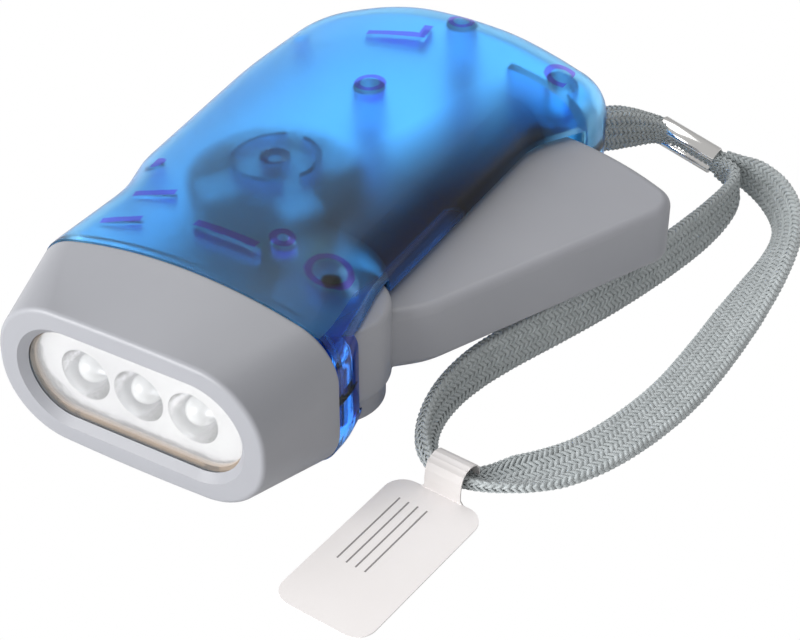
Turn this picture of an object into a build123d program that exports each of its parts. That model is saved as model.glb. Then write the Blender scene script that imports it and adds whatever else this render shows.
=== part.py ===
"""Squeeze-lever dynamo torch with a wrist strap, in millimetres.

+X points to the side of the squeeze lever, the light points along -Y, +Z is up.
The origin is on the flat underside, near the middle of the torch's length.
"""
from math import acos, atan2, cos, degrees, hypot, pi, radians, sin, sqrt, tan
import os

from build123d import *

# ---- case ----
front_reach = 49.4           # origin to the front rim
tail_reach = 52.5            # origin to the tail
case_thickness = 30.0        # flat underside to the crown of the top
head_width = 52.5
head_depth = 14.9            # front rim back to the seam between head and shells
wall = 1.8
crown_radius = 75.0          # large faces, top and bottom
edge_radius = 7.0            # rounding between the large faces and the sides
flat_depth = 0.5             # how far the lower crown is cut flat to rest on
shell_inset = 0.5            # shells sit this much inside the head's outline
grip_side_x = 22.4           # case side along the lever
tail_side_x = 28.6           # case side behind the lever
bulge_x = -30.4              # widest point of the palm side
waist_x = -24.6              # narrowest point of the palm side, near the head
tail_block = 13.7            # case behind the lever
spigot_length = 2.4          # shells reach this far into the head
spigot_wall = 1.2
fit = 0.1                    # gap between pieces that are put together by hand

# ---- head and light ----
head_wall = 2.0
head_front_width = 46.0
head_front_height = 24.0
head_corner = 8.5            # corner radius of the head's section at the seam
head_front_corner = 11.2
head_front_crown = 600.0     # the front outline is nearly straight above and below
head_front_radius = 0.8
head_rim = 0.5               # small rounding at the seam
window_width = 37.0          # straight-sided window with round ends
window_height = 15.0
window_flare = 1.4           # how much wider the window is at the front rim
window_recess = 1.3          # front rim back to the lens
lens_thickness = 0.9
lens_margin = 0.8            # lens reaches this far behind the window's edge
gasket_thickness = 0.4
reflector_depth = 6.0
reflector_wall = 1.2
cup_pitch = 9.4
cup_radius = 4.6
cup_floor_radius = 2.9
led_count = 3
led_radius = 2.4
led_length = 6.2
board_thickness = 1.2
board_width = 38.0
board_height = 18.0
board_corner = 3.0
diode_radius = 0.9
diode_length = 4.0
cell_radius = 5.8
cell_height = 5.4
cell_count = 3
cell_centre_x = -13.0
cell_setback = 2.3           # cell axis behind the seam
cell_z = 11.8

# ---- squeeze lever ----
pivot_x = 17.0
pivot_setback = 12.0         # pivot behind the seam
lever_travel = 20.0          # degrees from rest to fully squeezed
lever_thickness = 10.6
lever_wall = 1.7
lever_face_offset = 7.2      # pivot to the lever's outer face
lever_face_angle = 25.0      # outer face from the torch's axis, at rest
lever_inner_offset = 1.5     # pivot to the lever's inner edge
lever_bend = 12.5            # pivot to the start of the flat outer face
lever_corner = 5.0
lever_edge = 1.5
hub_radius = 8.9
hub_rise = 2.4               # hub above the top of the grip
hub_foot_drop = 3.7          # hub's foot below the grip
hub_foot_radius = 8.0
hub_edge = 0.8
hub_gap = 0.6                # hub to the case, round it and above it
slot_gap = 1.0               # lever to the case, above, below and behind
pin_radius = 1.5
running_fit = 0.05           # radial clearance of every turning fit
end_play = 0.2               # axial clearance of every turning piece
spring_wire = 0.8
spring_turns = 4
spring_gap = 0.3             # spring to the pin and to the hub

# ---- gear train ----
pressure_angle = 20.0
sector_module = 0.8
sector_teeth = 44            # of the full circle
sector_spread = 17.0         # half angle of the toothed fan
pinion_teeth = 12
train_module = 0.4
wheel_teeth = 40
wheel_thickness = 1.5
pinion_face = 2.2
addendum = 0.75              # in modules
dedendum = 1.05
backlash = 0.11
first_gear_angle = 165.0     # direction from the pivot to the first gear
gear_floor = 3.8             # top of the bosses that the gears stand on
level_gap = 0.6
gear_pin_radius = 0.75
boss_radius = 2.2
gear_sleeve_radius = 1.9      # less than the root of the small pinions

# ---- generator ----
rotor_dx = -22.0             # rotor from the pivot
rotor_dy = 19.5
shaft_radius = 1.0
plate_thickness = 1.5
plate_radius = 13.0
plate_ear_radius = 2.9
stator_radius = 12.4
stator_height = 7.4
claw_count = 8
claw_width = 4.0
cage_wall = 0.8
bobbin_core_radius = 4.0
flange_thickness = 0.8
flywheel_radius = 13.8
flywheel_thickness = 2.6
magnet_gap = 0.6
cross_radius = 12.4
cross_arm_width = 6.0
cross_hub_radius = 6.6
cross_thickness = 1.3
cross_angle = 55.0
collar_radius = 7.2
collar_wall = 0.9
collar_gap = 0.5             # collar to the cross below it

# ---- fasteners and posts ----
screw_radius = 1.1
screw_head_radius = 2.3
screw_head_height = 1.5
screw_recess = 1.0
screw_reach = 5.0            # thread above the split
post_radius = 2.6
plate_screw_radius = 0.9
plate_screw_head = 1.9
plate_screw_reach = 5.0
rib_thickness = 1.6
top_rib_thickness = 1.2

# ---- strap, sleeve and tag ----
strap_width = 7.6
strap_thickness = 1.8
strap_lift = 0.3             # standing edge of the loop above the table
strap_core_radius = 1.8      # post inside the strap's end loop
strap_loop_thickness = 1.3   # strap pulled tight round the post
strap_slack = 0.3            # strap's end loop to the pocket round it
strap_exit_width = 5.2
strap_exit_height = 9.6
strap_exit_reach = 14.0      # post to the outside of the slot
sleeve_length = 11.2
sleeve_width = 5.0
sleeve_height = 4.2
sleeve_wall = 0.4
sleeve_mouth = 1.2           # doubled strap that shows past the sleeve
tag_thickness = 0.3
tag_width = 16.6
tag_length = 25.6
tag_corner = 3.0
tag_turn = 7.5               # degrees, tag from the torch's axis
tag_neck_width = 7.6
tag_neck_gap = 0.9           # paper to the strap inside its neck

# ---- places that follow from the sizes above ----
case_length = front_reach + tail_reach
front_y = -front_reach
tail_y = tail_reach
seam_y = front_y + head_depth
half_thickness = (case_thickness + flat_depth) / 2
split_z = case_thickness - half_thickness
side_x = head_width / 2 - shell_inset
pivot_y = seam_y + pivot_setback
lever_reach = tail_y - tail_block - pivot_y
lever_bottom = split_z - lever_thickness / 2
lever_top = split_z + lever_thickness / 2
hub_top = lever_top + hub_rise
hub_bottom = lever_bottom - hub_foot_drop
rotor_x = pivot_x + rotor_dx
rotor_y = pivot_y + rotor_dy
strap_post_x = tail_side_x - 7.8
strap_post_y = tail_y - 9.2
sleeve_start = (31.9, 60.6, 11.0)
sleeve_end = (42.7, 60.3, 8.0)
tag_top = (40.4, -32.6)      # middle of the edge that the neck grows from

# middle of the strap in plan, from the sleeve out and back to it: chosen points
strap_points = [
    (43.9, 61.3),
    (46.5, 61.3),
    (49.8, 61.9),
    (54.2, 60.3),
    (58.4, 55.6),
    (61.0, 48.6),
    (62.0, 39.5),
    (62.2, 29.0),
    (61.9, 18.0),
    (61.1, 7.0),
    (59.7, -3.5),
    (57.4, -12.5),
    (54.2, -19.5),
    (49.6, -24.4),
    (44.2, -27.0),
    (38.8, -27.2),
    (34.3, -24.4),
    (31.6, -19.6),
    (30.6, -13.5),
    (31.4, -6.2),
    (34.0, 2.0),
    (37.6, 11.5),
    (41.2, 22.0),
    (44.3, 33.0),
    (46.6, 43.5),
    (47.7, 50.0),
    (48.2, 54.6),
    (47.9, 57.3),
    (46.3, 59.3),
    (43.9, 59.3),
]

# heights of the gear train, from the floor up
low_wheel_z = gear_floor + end_play
sector_z = low_wheel_z + wheel_thickness + level_gap
high_wheel_z = sector_z + pinion_face + level_gap
plate_z = high_wheel_z + pinion_face + end_play
stator_z = plate_z + plate_thickness
flywheel_z = stator_z + stator_height + magnet_gap
cross_z = flywheel_z + flywheel_thickness + end_play
rotor_boss_z = cross_z + cross_thickness + end_play


def polar(x, y, angle, distance):
    """Point at a distance and direction, in degrees, from (x, y)."""
    return (x + distance * cos(radians(angle)), y + distance * sin(radians(angle)))


def direction(start, end):
    return degrees(atan2(end[1] - start[1], end[0] - start[0]))


def third_corner(a, b, from_a, from_b):
    """Corner of a triangle on a-b, on the left when b is seen from a."""
    base = hypot(b[0] - a[0], b[1] - a[1])
    turn = degrees(acos((from_a**2 + base**2 - from_b**2) / (2 * from_a * base)))
    return polar(*a, direction(a, b) + turn, from_a)


# centres of the gear train
sector_pitch = sector_module * sector_teeth / 2
first_pinion_pitch = sector_module * pinion_teeth / 2
wheel_pitch = train_module * wheel_teeth / 2
pinion_pitch = train_module * pinion_teeth / 2
pivot = (pivot_x, pivot_y)
rotor = (rotor_x, rotor_y)
gear_1_at = polar(*pivot, first_gear_angle, sector_pitch + first_pinion_pitch)
gear_2_at = third_corner(gear_1_at, rotor, wheel_pitch + pinion_pitch, wheel_pitch + pinion_pitch)

# posts: x, y
plate_posts = [
    (gear_2_at[0] - 4.3, gear_2_at[1] - 10.8),
    (rotor_x - 13.5, rotor_y + 8.0),
    (rotor_x + 5.5, rotor_y + 14.5),
]
case_posts = [(rotor_x + 2.0, rotor_y + 24.5), (strap_post_x, strap_post_y), (rotor_x + 5.2, tail_y - 6.0)]
locating_pins = [(-21.6, seam_y + 23.4), (-24.0, tail_y - 18.1)]

# short ribs under the top face: x, y, direction, length
top_ribs = [
    (rotor_x + 5.8, seam_y + 9.9, 0, 10.9),
    (-15.6, seam_y + 14.8, 17, 6.9),
    (-15.8, seam_y + 6.7, 19, 6.4),
    (-7.8, tail_y - 14.8, 14, 9.6),
    (-3.4, tail_y - 12.3, 100, 4.2),
]


def upright(x, y, bottom, top, radius, bore=0.0):
    """Vertical cylinder between two heights, with a bore if one is given."""
    solid = Pos(x, y, (bottom + top) / 2) * Cylinder(radius, top - bottom)
    if bore:
        solid -= Pos(x, y, (bottom + top) / 2) * Cylinder(bore, top - bottom + 1)
    return solid


def block(x, y, z, length_x, length_y, length_z):
    """Box given by its centre and its three lengths."""
    return Pos(x, y, z) * Box(length_x, length_y, length_z)


def rounded_face(corners):
    """Face through corners (x, y, radius), each rounded to its radius."""
    face = make_face(Polyline(*[(x, y) for x, y, _ in corners], close=True)).face()
    for x, y, radius in corners:
        if radius:
            corner = face.vertices().sort_by_distance((x, y, 0))[0]
            face = face.fillet_2d(radius, [corner])
    return face


def at_height(sketch, bottom, height):
    """Plan outline made solid, from a height up."""
    return extrude(Pos(0, 0, bottom) * sketch, amount=height)


# ---- gears ----
def involute(radius, base):
    """Angle in radians between the base of an involute and its point at the radius."""
    return sqrt((radius / base) ** 2 - 1) - acos(base / radius)


def gear_outline(module, teeth, phase, spread=180.0):
    """Outline points of the teeth whose centres lie within the spread of the phase angle."""
    pitch = module * teeth / 2
    base = pitch * cos(radians(pressure_angle))
    tip = pitch + addendum * module
    root = pitch - dedendum * module
    half_tooth = pi / (2 * teeth) - backlash / (2 * pitch) + involute(pitch, base)
    low = max(base, root)
    steps = [low, (low + pitch) / 2, pitch, (pitch + tip) / 2, tip]
    flank = [(radius, half_tooth - involute(radius, base)) for radius in steps]
    if root < base:
        flank.insert(0, (root, half_tooth))
    step = 360.0 / teeth
    count = teeth if spread >= 180 else 2 * int(spread / step) + 1
    points = []
    for index in range(count):
        centre = phase + (index if spread >= 180 else index - count // 2) * step
        points += [polar(0, 0, centre - degrees(angle), radius) for radius, angle in flank]
        points += [polar(0, 0, centre + degrees(angle), radius) for radius, angle in reversed(flank)]
    return points


def gear(module, teeth, phase, centre, bottom, thickness):
    """Spur gear as a solid."""
    face = make_face(Polyline(*gear_outline(module, teeth, phase), close=True))
    return at_height(Pos(*centre, 0) * face, bottom, thickness)


def meshed_phase(angle, teeth):
    """Tooth angle of a gear whose gap faces a tooth that points at it along the angle."""
    return angle + 180.0 + 180.0 / teeth


angle_1_2 = direction(gear_1_at, gear_2_at)
angle_2_rotor = direction(gear_2_at, rotor)


def compound_gear(centre, wheel, pinion, sleeve_top):
    """Wheel and pinion on one sleeve. Each is (module, teeth, phase, bottom, face width)."""
    solid = upright(*centre, low_wheel_z, sleeve_top, gear_sleeve_radius)
    for module, teeth, phase, bottom, thickness in (wheel, pinion):
        solid += gear(module, teeth, phase, centre, bottom, thickness)
    bore = gear_pin_radius + running_fit
    return solid - upright(*centre, low_wheel_z - 1, sleeve_top + 1, bore)


def gear_1():
    wheel = (train_module, wheel_teeth, angle_1_2, low_wheel_z, wheel_thickness)
    phase = meshed_phase(first_gear_angle, pinion_teeth)
    pinion = (sector_module, pinion_teeth, phase, sector_z, pinion_face)
    return compound_gear(gear_1_at, wheel, pinion, sector_z + pinion_face)


def gear_2():
    wheel = (train_module, wheel_teeth, angle_2_rotor, high_wheel_z, wheel_thickness)
    phase = meshed_phase(angle_1_2, pinion_teeth)
    pinion = (train_module, pinion_teeth, phase, low_wheel_z, wheel_thickness)
    return compound_gear(gear_2_at, wheel, pinion, plate_z - end_play)


def rotor_pinion():
    phase = meshed_phase(angle_2_rotor, pinion_teeth)
    solid = gear(train_module, pinion_teeth, phase, rotor, high_wheel_z, pinion_face)
    return solid - upright(*rotor, high_wheel_z - 1, plate_z, shaft_radius)


def gear_pin(centre):
    """Fixed pin from the floor boss up through the frame plate."""
    return upright(*centre, gear_floor - 1.6, plate_z + plate_thickness, gear_pin_radius)


# ---- case forms ----
def case_corners():
    """Plan outline of the shells, from inside the head round the tail."""
    inside_head = seam_y - spigot_length - 5.0
    return [
        (side_x, inside_head, 0),
        (side_x, seam_y + 3.5, 14),
        (grip_side_x, seam_y + 17.5, 20),
        (grip_side_x, tail_y - 22.0, 12),
        (tail_side_x, tail_y - 13.0, 8),
        (tail_side_x - 0.2, tail_y - 1.6, 8),
        (8.0, tail_y, 50),
        (-12.0, tail_y, 30),
        (bulge_x + 2.0, tail_y - 6.5, 13),
        (bulge_x, tail_y - 28.0, 60),
        (waist_x - 3.2, seam_y + 26.0, 14),
        (waist_x, seam_y + 17.0, 14),
        (-side_x, seam_y + 2.0, 20),
        (-side_x, inside_head, 0),
    ]


def crowned_slab(inset):
    """Space between the two large crowned faces, each moved in by the inset."""
    radius = crown_radius - inset
    roller = Rot(90, 0, 0) * Cylinder(radius, 3 * case_length)
    upper = Pos(0, 0, split_z + half_thickness - crown_radius) * roller
    lower = Pos(0, 0, split_z - half_thickness + crown_radius) * roller
    return upper & lower


def case_form(inset=0.0):
    """Closed form of the shells, moved in by the inset."""
    outline = rounded_face(case_corners())
    if inset:
        outline = offset(outline, -inset)
    prism = at_height(outline, -case_thickness, 3 * case_thickness)
    solid = prism & crowned_slab(inset)
    front = solid.bounding_box().min.Y
    rim = [e for e in solid.edges() if abs(e.tangent_at(0.5).Z) < 0.9 and e.center().Y > front + 0.01]
    return fillet(rim, edge_radius - inset)


outer_form = case_form()
inner_form = case_form(wall)
spigot_form = case_form(wall - 0.2)
bore_form = case_form(wall - 0.2 + spigot_wall)


def y_slice(y_low, y_high):
    """Box that keeps what lies between two Y values."""
    return block(0, (y_low + y_high) / 2, split_z, 300, y_high - y_low, 300)


def z_slice(z_low, z_high):
    """Box that keeps what lies between two heights."""
    return block(0, 0, (z_low + z_high) / 2, 600, 600, z_high - z_low)


# ---- head ----
def blend(start, end, share):
    return start + share * (end - start)


def head_section(share, inset):
    """Crowned section of the head, drawn in plan with Y as height.

    The share is 0 at the seam and 1 at the front rim.
    """
    width = blend(head_width, head_front_width, share) - 2 * inset
    height = blend(2 * half_thickness, head_front_height, share) - 2 * inset
    crown = 1 / blend(1 / crown_radius, 1 / head_front_crown, share)
    reach = crown - height / 2
    face = (Rectangle(width, 2 * height) & Pos(0, -reach) * Circle(crown) & Pos(0, reach) * Circle(crown)).face()
    return face.fillet_2d(blend(head_corner, head_front_corner, share) - inset, face.vertices())


def head_form(inset, y_front):
    """Tapered form of the head from the seam to Y, moved in by the inset."""
    front = head_section((seam_y - y_front) / head_depth, inset)
    return loft([front_plane(seam_y) * head_section(0.0, inset), front_plane(y_front) * front], ruled=True)


def front_plane(y):
    """Upright plane at Y, facing forward, centred on the split."""
    return Plane(origin=(0, y, split_z), x_dir=(1, 0, 0), z_dir=(0, -1, 0))


def facing_front(sketch, y, depth, taper=0.0):
    """Section sketch stood upright at Y, centred on the split, and pushed forward."""
    return extrude(front_plane(y) * sketch, amount=depth, taper=taper)


def stadium(width, height):
    return SlotOverall(width, height)


def window(margin=0.0):
    return stadium(window_width + 2 * margin, window_height + 2 * margin)


lens_front_y = front_y + window_recess
lens_back_y = lens_front_y + lens_thickness
reflector_front_y = lens_back_y + gasket_thickness
reflector_back_y = reflector_front_y + reflector_depth
board_front_y = reflector_back_y + fit
board_back_y = board_front_y + board_thickness


def head_cap():
    """Grey head: tapered cap with a round front edge and a flared window."""
    solid = head_form(0.0, front_y)
    solid = fillet(solid.faces().sort_by(Axis.Y)[0].edges(), head_front_radius)
    solid = fillet(solid.faces().sort_by(Axis.Y)[-1].edges(), head_rim)
    solid &= z_slice(0, 2 * case_thickness)
    cavity = head_form(head_wall, lens_front_y - fit)
    socket = spigot_hollow() & y_slice(seam_y - spigot_length - 2 * fit, seam_y + 1)
    flare = window_flare / (window_recess + fit)
    opening = facing_front(window(), lens_front_y + 2, window_recess + 4)
    bell = facing_front(window(), lens_front_y, window_recess + fit, -degrees(atan2(flare, 1.0)))
    return solid - cavity - socket - opening - bell


def spigot_hollow():
    """Space in the head that the shells' spigot slides into."""
    return case_form(wall - 0.2 - fit)


def lens():
    """Clear window pane behind the head's front wall."""
    return facing_front(window(lens_margin), lens_back_y, lens_thickness - fit)


def lens_gasket():
    """Thin ring that beds the lens on the reflector."""
    ring = window(lens_margin) - window(-0.2)
    return facing_front(ring, reflector_front_y, gasket_thickness)


def cup_centres():
    half_row = (led_count - 1) / 2
    return [(index - half_row) * cup_pitch for index in range(led_count)]


def reflector():
    """Plated block with one dished cup for each LED."""
    body = facing_front(window(0.6), reflector_back_y, reflector_depth)
    for x in cup_centres():
        profile = make_face(Polyline(
            (0, 0), (cup_floor_radius, 0), (cup_radius * 0.82, reflector_depth * 0.45),
            (cup_radius, reflector_depth + 0.1), (0, reflector_depth + 0.1), close=True))
        dish = revolve(Plane.XZ * profile, Axis.Z)
        dish = Rot(90, 0, 0) * dish
        body -= Pos(x, reflector_back_y - reflector_wall, split_z) * dish
        hole = Rot(90, 0, 0) * Cylinder(led_radius + fit, 3 * reflector_depth)
        body -= Pos(x, reflector_back_y, split_z) * hole
    return body


def led(x):
    """Round-nosed LED standing on the board, with its two legs."""
    stem = led_length - led_radius
    body = Pos(0, 0, stem / 2) * Cylinder(led_radius, stem)
    body += Pos(0, 0, stem) * Sphere(led_radius)
    for side in (-1, 1):
        leg = Box(0.5, 0.5, 3.0)
        body += Pos(side * 1.27, 0, -1.4) * leg
    return Pos(x, board_front_y, split_z) * Rot(90, 0, 0) * body


def led_board():
    """Circuit board that carries the LEDs, with holes for their legs."""
    board = facing_front(RectangleRounded(board_width, board_height, board_corner), board_back_y, board_thickness)
    for x in cup_centres():
        for side in (-1, 1):
            hole = Box(0.8, 3 * board_thickness, 0.8)
            board -= Pos(x + side * 1.27, board_front_y, split_z) * hole
    return board


def rectifier_diodes():
    """Four diodes in a row on the back of the board."""
    diodes = []
    for index in range(4):
        x = 8.0 + (index - 1.5) * 2.6
        diode = Cylinder(diode_radius, diode_length)
        diodes.append(Pos(x, board_back_y + diode_radius + fit, split_z + 4.5) * diode)
    return diodes


def cell_stack():
    """Button cells side by side on one axis, in one sleeve."""
    length = cell_count * cell_height
    stack = Pos(cell_centre_x, seam_y + cell_setback, cell_z) * Rot(0, 90, 0) * Cylinder(cell_radius, length)
    return fillet(stack.edges().filter_by(GeomType.CIRCLE), 0.5)


# ---- lever ----
def on_lever_face(distance):
    """Point on the lever's outer face, by its distance along the face from the pivot."""
    beside = polar(*pivot, -lever_face_angle, lever_face_offset)
    return polar(*beside, 90.0 - lever_face_angle, distance)


def lever_points():
    """Corners of the lever's plan outline at rest, past its rear face."""
    inner_x = pivot_x + lever_inner_offset
    far = 1.5 * lever_reach
    hub_side = polar(*pivot, 28.0, hub_radius - 0.6)
    return [(*hub_side, 0), (*on_lever_face(lever_bend), 14), (*on_lever_face(far), 0),
            (inner_x, pivot_y + far, 0), (inner_x, pivot_y, 0)]


def lever_plan(inset=0.0):
    """Plan of the grip, cut to its reach round the pivot."""
    face = rounded_face(lever_points())
    reach = Pos(*pivot) * Circle(lever_reach)
    plan = (face & reach).face()
    corner = plan.vertices().sort_by(Axis.X)[-1]
    plan = plan.fillet_2d(lever_corner, [corner])
    return offset(plan, -inset) if inset else plan


def is_shown(edge):
    """True for the grip's long edges on the outer and rear faces."""
    middle = edge.center()
    level = abs(edge.tangent_at(0.5).Z) < 0.1
    beyond_hub = hypot(middle.X - pivot_x, middle.Y - pivot_y) > hub_radius
    return level and beyond_hub and middle.X > pivot_x + lever_inner_offset + 0.5


def fan():
    """Toothed fan that turns the first gear."""
    teeth = gear_outline(sector_module, sector_teeth, first_gear_angle, sector_spread)
    face = make_face(Polyline((0, 0), *teeth, close=True))
    return at_height(Pos(*pivot, 0) * face, sector_z, pinion_face)


def spring_seat():
    """Radius and depth of the hub's pocket for the return spring."""
    radius = pin_radius + spring_wire + 2 * spring_gap
    return radius, spring_turns * (spring_wire + spring_gap) + 2 * spring_gap


def lever():
    """Hollow grip, hub and toothed fan in one moulding."""
    grip = at_height(lever_plan(), lever_bottom, lever_thickness)
    grip = fillet([e for e in grip.edges() if is_shown(e)], lever_edge)
    hollow = at_height(lever_plan(lever_wall), lever_bottom + lever_wall, lever_thickness - 2 * lever_wall)
    mouth = block(pivot_x + lever_inner_offset, pivot_y + lever_reach / 2, split_z,
                  2 * lever_wall + 1, lever_reach * 0.8, lever_thickness - 2 * lever_wall)
    hub = upright(*pivot, lever_bottom, hub_top, hub_radius)
    hub = fillet(hub.edges().filter_by(GeomType.CIRCLE), hub_edge)
    hub += upright(*pivot, hub_bottom, split_z, hub_foot_radius)
    core = upright(*pivot, lever_bottom, lever_top, hub_radius + lever_wall) & grip
    solid = grip - hollow - mouth + core + hub + fan()
    solid -= upright(*pivot, hub_bottom - 1, hub_top + 1, pin_radius + running_fit)
    radius, depth = spring_seat()
    return solid - upright(*pivot, hub_top - depth, hub_top + 1, radius)


def lever_pin():
    return upright(*pivot, hub_bottom - 3.0, hub_top + 2.6, pin_radius)


def return_spring():
    """Coil round the lever pin, in the hub's pocket."""
    _, depth = spring_seat()
    pitch = spring_wire + spring_gap
    radius = pin_radius + spring_gap + spring_wire / 2
    path = Helix(pitch, spring_turns * pitch, radius)
    section = Plane(origin=path @ 0, z_dir=path % 0) * Circle(spring_wire / 2)
    coil = sweep(section, path=path, is_frenet=True)
    return Pos(*pivot, hub_top - depth + spring_gap + spring_wire / 2) * coil


# ---- generator ----
def frame_plate():
    """Plate that holds the gear pins and carries the stator."""
    discs = [(rotor, plate_radius), (gear_1_at, plate_ear_radius)]
    discs += [(post, plate_ear_radius) for post in plate_posts]
    edges = [(Pos(*centre) * Circle(radius)).edge() for centre, radius in discs]
    plate = at_height(make_hull(edges), plate_z, plate_thickness)
    plate -= upright(*rotor, plate_z - 1, stator_z + 1, shaft_radius + 4 * running_fit)
    for centre in (gear_1_at, gear_2_at):
        plate -= upright(*centre, plate_z - 1, stator_z + 1, gear_pin_radius)
    for post in plate_posts:
        plate -= upright(*post, plate_z - 1, stator_z + 1, plate_screw_radius + fit)
    return plate


def plate_screws():
    """Screws that hold the frame plate on its posts."""
    screws = []
    for post in plate_posts:
        screw = upright(*post, plate_z - plate_screw_reach, stator_z, plate_screw_radius)
        screw += upright(*post, stator_z, stator_z + 1.0, plate_screw_head)
        screw -= block(*post, stator_z + 1.0, 2 * plate_screw_head + 1, 0.5, 0.8)
        screws.append(screw)
    return screws


def stator_cage():
    """Lower pole plate with upright claws round the coil."""
    solid = upright(*rotor, stator_z, stator_z + cage_wall, stator_radius)
    ring = upright(*rotor, stator_z, stator_z + stator_height - cage_wall, stator_radius,
                   stator_radius - cage_wall)
    for index in range(claw_count):
        claw = Rot(0, 0, index * 360.0 / claw_count) * Pos(stator_radius, 0, 0) * Box(6.0, claw_width, 60.0)
        solid += ring & (Pos(*rotor, 0) * claw)
    return solid - upright(*rotor, stator_z - 1, stator_z + 2, shaft_radius + 4 * running_fit)


def stator_cap():
    """Upper pole plate, on top of the claws."""
    bottom = stator_z + stator_height - cage_wall
    cap = upright(*rotor, bottom, stator_z + stator_height, stator_radius, shaft_radius + 4 * running_fit)
    for index in range(claw_count):
        notch = Rot(0, 0, (index + 0.5) * 360.0 / claw_count) * Pos(stator_radius, 0, 0) * Box(3.0, 2.4, 60.0)
        cap -= Pos(*rotor, 0) * notch
    return cap


def coil_bobbin():
    bottom = stator_z + cage_wall
    top = stator_z + stator_height - cage_wall
    radius = stator_radius - cage_wall - 0.3
    solid = upright(*rotor, bottom, top, bobbin_core_radius)
    solid += upright(*rotor, bottom, bottom + flange_thickness, radius)
    solid += upright(*rotor, top - flange_thickness, top, radius)
    return solid - upright(*rotor, bottom - 1, top + 1, shaft_radius + 4 * running_fit)


def coil_winding():
    """Wound wire as one closed ring between the bobbin's flanges."""
    bottom = stator_z + cage_wall + flange_thickness
    top = stator_z + stator_height - cage_wall - flange_thickness
    radius = stator_radius - cage_wall - 0.8
    return upright(*rotor, bottom, top, radius, bobbin_core_radius)


def flywheel():
    """Magnet disc that spins on the shaft, with a ratchet ring on top."""
    top = flywheel_z + flywheel_thickness
    disc = upright(*rotor, flywheel_z, top, flywheel_radius)
    disc = fillet(disc.edges().filter_by(GeomType.CIRCLE), 0.4)
    groove = upright(*rotor, top - 0.5, top + 1, flywheel_radius - 0.9, cross_radius - 0.6)
    return disc - groove - upright(*rotor, flywheel_z - 1, top + 1, shaft_radius + running_fit)


def ratchet_cross():
    """Four-armed driver on the shaft that pushes the flywheel one way."""
    plan = Circle(cross_hub_radius)
    for index in range(4):
        arm = Pos(cross_radius / 2, 0) * RectangleRounded(cross_radius, cross_arm_width, 0.8)
        plan += Rot(0, 0, cross_angle + 90.0 * index) * arm
    solid = at_height(Pos(*rotor, 0) * plan, cross_z, cross_thickness)
    return solid - upright(*rotor, cross_z - 1, cross_z + 3, shaft_radius)


def drive_shaft():
    return upright(*rotor, gear_floor - 1.8, rotor_boss_z + 1.8, shaft_radius)


# ---- shells ----
def slot():
    """Space that the lever and its hub swing in."""
    reach = lever_reach + slot_gap
    inner_x = grip_side_x - 3.0 * wall
    sweep_plan = Pos(*pivot) * Circle(reach)
    side_band = Pos(inner_x + 50, pivot_y + 45) * Rectangle(100, 90)
    half = lever_thickness / 2 + slot_gap
    space = at_height(sweep_plan & side_band, split_z - half, 2 * half)
    space += upright(*pivot, lever_bottom - slot_gap, hub_top + hub_gap, hub_radius + hub_gap)
    space += upright(*pivot, hub_bottom - end_play, split_z, hub_foot_radius + hub_gap)
    return space


def shell_blank():
    """Both shells in one piece, hollow and open to the head."""
    hollow = outer_form - inner_form
    hollow &= y_slice(seam_y, 2 * case_length)
    spigot = (spigot_form - bore_form) & y_slice(seam_y - spigot_length, seam_y + 2.5)
    return (hollow + spigot) & z_slice(0, 2 * case_thickness)


def inside(solid):
    """What of a post or rib lies within the case."""
    return solid & outer_form & y_slice(seam_y - spigot_length, 2 * case_length)


def floor_posts():
    """Bosses and posts that rise from the lower shell."""
    floor = wall / 2
    posts = upright(*pivot, floor, hub_bottom - end_play, pin_radius + 2.2)
    for centre in (gear_1_at, gear_2_at, rotor):
        posts += upright(*centre, floor, gear_floor, boss_radius)
    for centre in plate_posts:
        posts += upright(*centre, floor, plate_z, 2.3)
    for centre in case_posts:
        posts += upright(*centre, floor, split_z, post_radius)
    stop = polar(*pivot, first_gear_angle - sector_spread - 9.6, sector_pitch - 2.2)
    posts += upright(*stop, floor, sector_z + pinion_face, 1.8)
    return posts


def cell_cradle():
    """Two ribs that carry the cells."""
    y = seam_y + cell_setback
    length = cell_count * cell_height
    ribs = block(cell_centre_x - length / 3, y, cell_z / 2, rib_thickness, 2 * cell_radius - 2, cell_z)
    ribs += block(cell_centre_x + length / 3, y, cell_z / 2, rib_thickness, 2 * cell_radius - 2, cell_z)
    seat = Pos(cell_centre_x, y, cell_z) * Rot(0, 90, 0) * Cylinder(cell_radius + fit, 2 * length)
    return (ribs - seat) & y_slice(seam_y, seam_y + 2 * cell_radius)


def floor_holes():
    """Bores for pins, shaft and screws in the lower shell."""
    holes = upright(*pivot, hub_bottom - 3.0, hub_bottom + 1, pin_radius)
    for centre in (gear_1_at, gear_2_at):
        holes += upright(*centre, gear_floor - 1.6, gear_floor + 1, gear_pin_radius)
    holes += upright(*rotor, gear_floor - 1.8 - end_play, gear_floor + 1, shaft_radius + running_fit)
    for centre in plate_posts:
        holes += upright(*centre, plate_z - plate_screw_reach, plate_z + 1, plate_screw_radius)
    for centre in case_posts:
        holes += upright(*centre, -1, split_z + 1, screw_radius + fit)
        holes += upright(*centre, -1, screw_seat(centre[0]) + screw_head_height, screw_head_radius + fit)
    return holes


def lower_shell():
    solid = shell_blank() & z_slice(-1, split_z)
    solid += inside(floor_posts() + cell_cradle() & z_slice(-1, split_z))
    solid += inside(tail_wall()) & z_slice(-1, split_z)
    return solid - slot() - strap_exit() - floor_holes()


def tail_wall():
    """Wall that closes the tail behind the lever's sweep."""
    near = lever_reach + slot_gap
    ring = (Pos(*pivot) * Circle(near + wall)) - (Pos(*pivot) * Circle(near))
    band = Pos(grip_side_x + 3, tail_y - tail_block) * Rectangle(26, 30)
    return at_height(ring & band, -10, 3 * case_thickness)


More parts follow.
